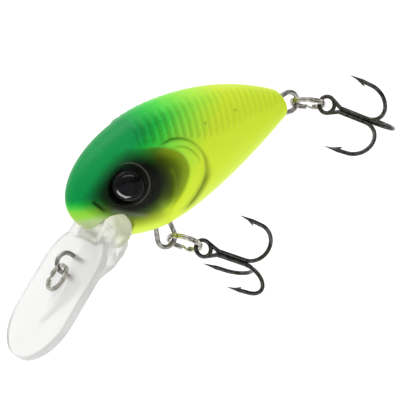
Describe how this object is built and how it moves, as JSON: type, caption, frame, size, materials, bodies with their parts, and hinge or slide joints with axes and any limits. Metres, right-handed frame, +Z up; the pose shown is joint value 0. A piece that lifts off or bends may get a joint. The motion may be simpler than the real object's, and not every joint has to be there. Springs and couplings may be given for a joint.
{
  "type": "crankbait fishing lure",
  "caption": "Deep-diving crankbait: hollow ribbed body, clear diving lip with a wire line tie, and treble hooks on split rings at belly and tail.",
  "frame": {"origin": "centre of the line tie's wire eye, on the lip's face in the middle plane", "axes": "+X aft along the body, +Z up through the back, +Y to the lure's right side, so its left side faces -Y"},
  "size_m": [0.0755, 0.0235, 0.0357],
  "materials": {
    "body_paint": "satin sprayed paint, green back to chartreuse",
    "clear_lip": "clear, slightly frosted",
    "nickel_wire": "nickel-plated wire",
    "nickel_ring": "nickel-plated spring wire",
    "black_nickel": "black nickel, semi-bright",
    "eye_foil": "foil",
    "eye_black": "high gloss",
    "ballast_brass": "turned",
    "ball_steel": "polished steel"
  },
  "bodies": {
    "lure_body": {"body_shell_left": "body_paint", "body_shell_right": "body_paint", "diving_lip": "clear_lip", "line_tie_wire": "nickel_wire", "belly_hook_hanger": "nickel_wire", "tail_hook_hanger": "nickel_wire", "eye_backing_left": "eye_foil", "eye_backing_right": "eye_foil", "eye_lens_left": "eye_black", "eye_lens_right": "eye_black", "belly_ballast": "ballast_brass"},
    "tie_ring": {"line_tie_split_ring": "nickel_ring"},
    "belly_ring": {"belly_split_ring": "nickel_ring"},
    "belly_treble": {"belly_treble_double_hook": "black_nickel", "belly_treble_third_hook": "black_nickel"},
    "tail_ring": {"tail_split_ring": "nickel_ring"},
    "tail_treble": {"tail_treble_double_hook": "black_nickel", "tail_treble_third_hook": "black_nickel"},
    "rattle": {"rattle_ball": "ball_steel"}
  },
  "joints": [
    {"name": "tie_ring_swing", "type": "hinge", "parent": "lure_body", "child": "tie_ring", "pos_m": [0, 0, 0], "axis": [0, 1, 0], "range_deg": [0, 150]},
    {"name": "belly_ring_swing", "type": "hinge", "parent": "lure_body", "child": "belly_ring", "pos_m": [0.0189, 0, -0.00362], "axis": [0, 1, 0], "range_deg": [-20, 90]},
    {"name": "belly_treble_swing", "type": "hinge", "parent": "belly_ring", "child": "belly_treble", "pos_m": [0.02111, -0.00166, -0.00528], "axis": [0.7059, 0.293, 0.6448], "range_deg": [-40, 40]},
    {"name": "tail_ring_swing", "type": "hinge", "parent": "lure_body", "child": "tail_ring", "pos_m": [0.0484, 0, 0.00918], "axis": [0, 1, 0], "range_deg": [-80, 80]},
    {"name": "tail_treble_swing", "type": "hinge", "parent": "tail_ring", "child": "tail_treble", "pos_m": [0.05096, -0.00166, 0.00813], "axis": [0.5142, 0.2791, 0.811], "range_deg": [-40, 40]},
    {"name": "rattle_ball_roll", "type": "slide", "parent": "lure_body", "child": "rattle", "axis": [1, 0, 0], "range_m": [0, 0.0038]}
  ]
}
